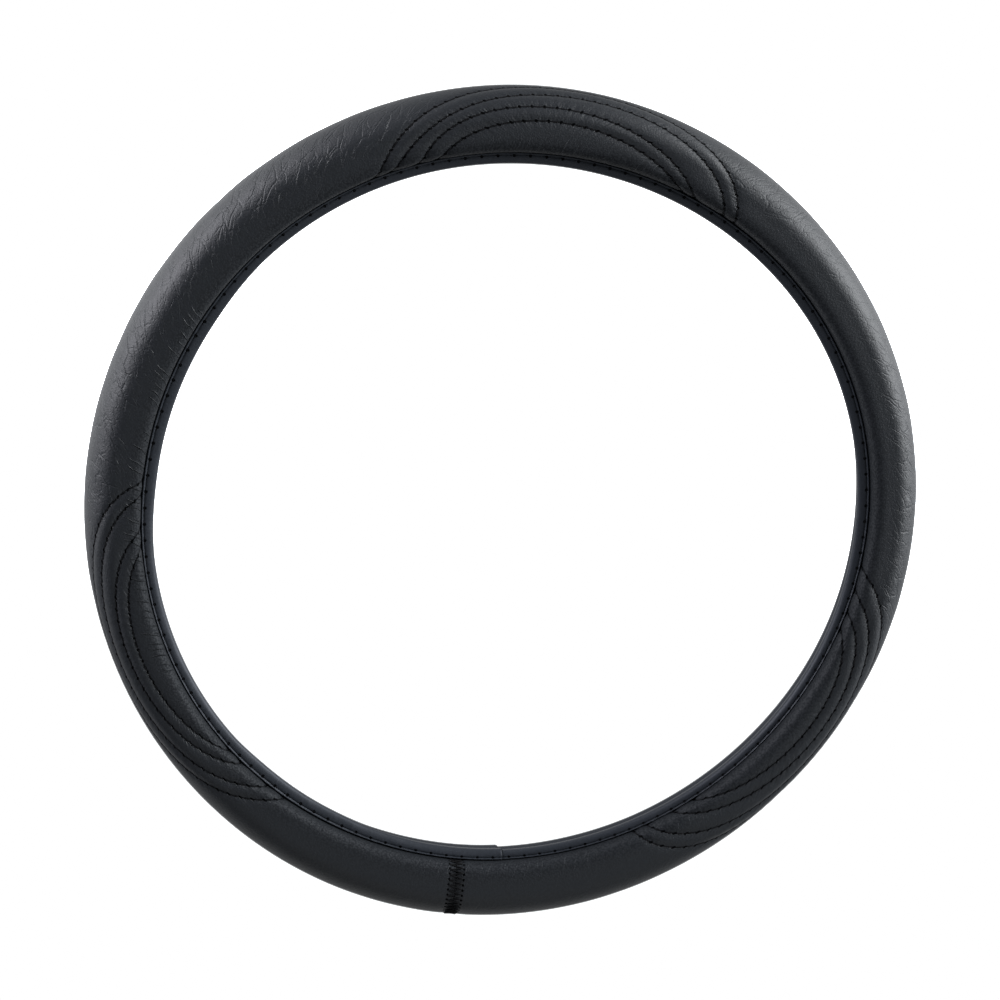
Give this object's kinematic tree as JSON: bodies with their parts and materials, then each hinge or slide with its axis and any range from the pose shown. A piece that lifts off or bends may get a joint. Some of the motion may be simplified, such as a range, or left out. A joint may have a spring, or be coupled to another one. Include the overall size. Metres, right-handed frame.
{
  "type": "steering wheel cover",
  "caption": "Padded ring cover for a steering wheel: C-shaped section open to the hub, arched quilting, a cross-stitched join and tape-bound lips.",
  "frame": {"origin": "on the hub axis, in the plane that the cover lies on", "axes": "+Z along the hub axis towards the driver; +Y towards the top of the wheel; +X to the driver's right"},
  "size_m": [0.38, 0.38, 0.034],
  "materials": {
    "leatherette": "black grained leatherette with a soft sheen",
    "rubber": "matt black moulded rubber",
    "tape": "smooth satin black vinyl"
  },
  "bodies": {
    "root": {"outer_skin": "leatherette", "rubber_grip_ring": "rubber", "front_lip_tape": "tape", "back_lip_tape": "tape"}
  },
  "joints": []
}
